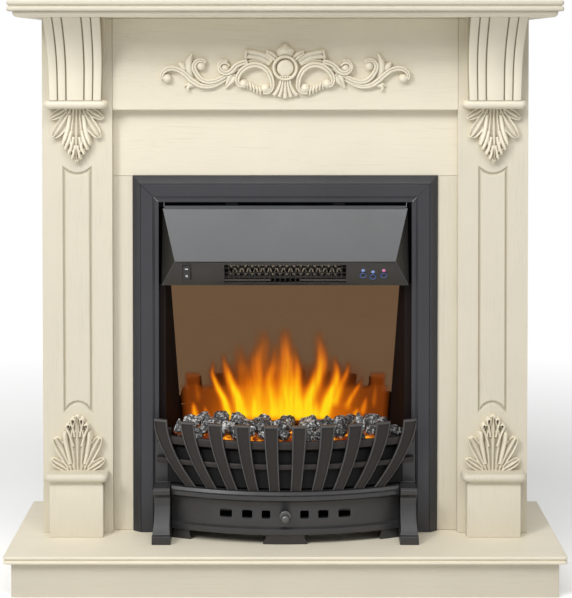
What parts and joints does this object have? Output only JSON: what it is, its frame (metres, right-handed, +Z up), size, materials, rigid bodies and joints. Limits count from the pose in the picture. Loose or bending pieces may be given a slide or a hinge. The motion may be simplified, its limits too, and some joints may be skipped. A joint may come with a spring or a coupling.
{
  "type": "electric fireplace suite",
  "caption": "Cream carved mantel surround with a black electric insert: heater hood, tinted mirror, coal bed and a cast basket front.",
  "frame": {"origin": "on the floor under the middle of the hearth", "axes": "+Z up, -Y the room side that the fire faces, +Y the wall, +X to the right as seen from the room"},
  "size_m": [0.897, 0.32, 0.951],
  "materials": {
    "painted_board": "cream satin paint with open grain",
    "carved_ornament": "cream satin paint over moulded resin",
    "trim_black": "satin black, slightly blue",
    "case_black": "matt black",
    "hood_black": "satin black",
    "fascia_gloss": "gloss black-brown",
    "switch_gloss": "gloss black",
    "grille_black": "matt black",
    "bright_steel": "bare",
    "fan_aluminium": "bare",
    "tinted_mirror": "brown tinted mirror",
    "coal": "speckled grey and black lumps, lit orange from below",
    "circuit_board": "green board",
    "gland_black": "matt black",
    "cast_front": "satin black paint"
  },
  "bodies": {
    "surround": {"hearth_board": "painted_board", "plinth_front": "painted_board", "plinth_left": "painted_board", "plinth_right": "painted_board", "infill_left": "painted_board", "infill_right": "painted_board", "header_board": "painted_board", "leg_face_left": "painted_board", "leg_face_right": "painted_board", "leg_side_left": "painted_board", "leg_side_right": "painted_board", "frieze_board": "painted_board", "shelf": "painted_board", "shelf_cove": "painted_board", "back_rail": "painted_board", "plinth_block_left": "painted_board", "plinth_block_right": "painted_board", "corbel_left": "carved_ornament", "corbel_right": "carved_ornament", "leaf_upper_left": "carved_ornament", "leaf_upper_right": "carved_ornament", "leaf_lower_left": "carved_ornament", "leaf_lower_right": "carved_ornament", "rosette": "carved_ornament", "scroll_left": "carved_ornament", "scroll_right": "carved_ornament"},
    "insert": {"trim_top": "trim_black", "trim_left": "trim_black", "trim_right": "trim_black", "case_floor": "case_black", "case_top": "case_black", "case_left": "case_black", "case_right": "case_black", "case_back": "case_black", "cheek_left": "case_black", "cheek_right": "case_black", "fuel_tray": "case_black", "hood": "hood_black", "fascia": "fascia_gloss", "grille": "grille_black", "heater_element": "bright_steel", "fan_housing": "bright_steel", "fan_motor": "bright_steel", "mirror": "tinted_mirror", "coal_bed": "coal", "spindle_bracket": "bright_steel", "spindle_motor": "bright_steel", "lamp_board": "circuit_board", "cord_gland": "gland_black"},
    "grate": {"basket": "cast_front", "fret": "cast_front", "post_left": "cast_front", "post_right": "cast_front", "knob": "cast_front"},
    "rocker": {"rocker": "switch_gloss"},
    "button_1": {"button_1": "switch_gloss"},
    "button_2": {"button_2": "switch_gloss"},
    "button_3": {"button_3": "switch_gloss"},
    "fan_wheel": {"fan_wheel": "fan_aluminium"},
    "flame_spindle": {"flame_spindle": "fan_aluminium"}
  },
  "joints": [
    {"name": "insert_slide", "type": "slide", "parent": "surround", "child": "insert", "axis": [0, -1, 0], "range_m": [0, 0.13]},
    {"name": "grate_slide", "type": "slide", "parent": "insert", "child": "grate", "axis": [0, -1, 0], "range_m": [0, 0.08]},
    {"name": "rocker_tilt", "type": "hinge", "parent": "insert", "child": "rocker", "pos_m": [-0.162, -0.0497, 0.50895], "axis": [1, 0, 0], "range_deg": [0, 18]},
    {"name": "fan_spin", "type": "hinge", "parent": "insert", "child": "fan_wheel", "pos_m": [0, 0.03, 0.554], "axis": [1, 0, 0], "continuous": true},
    {"name": "spindle_spin", "type": "hinge", "parent": "insert", "child": "flame_spindle", "pos_m": [0, 0.068, 0.156], "axis": [1, 0, 0], "continuous": true},
    {"name": "button_1_press", "type": "slide", "parent": "insert", "child": "button_1", "axis": [0, 0.838, 0.5457], "range_m": [0, 0.001], "stiffness_N_per_m": 300},
    {"name": "button_2_press", "type": "slide", "parent": "insert", "child": "button_2", "axis": [0, 0.838, 0.5457], "range_m": [0, 0.001], "stiffness_N_per_m": 300},
    {"name": "button_3_press", "type": "slide", "parent": "insert", "child": "button_3", "axis": [0, 0.838, 0.5457], "range_m": [0, 0.001], "stiffness_N_per_m": 300}
  ]
}
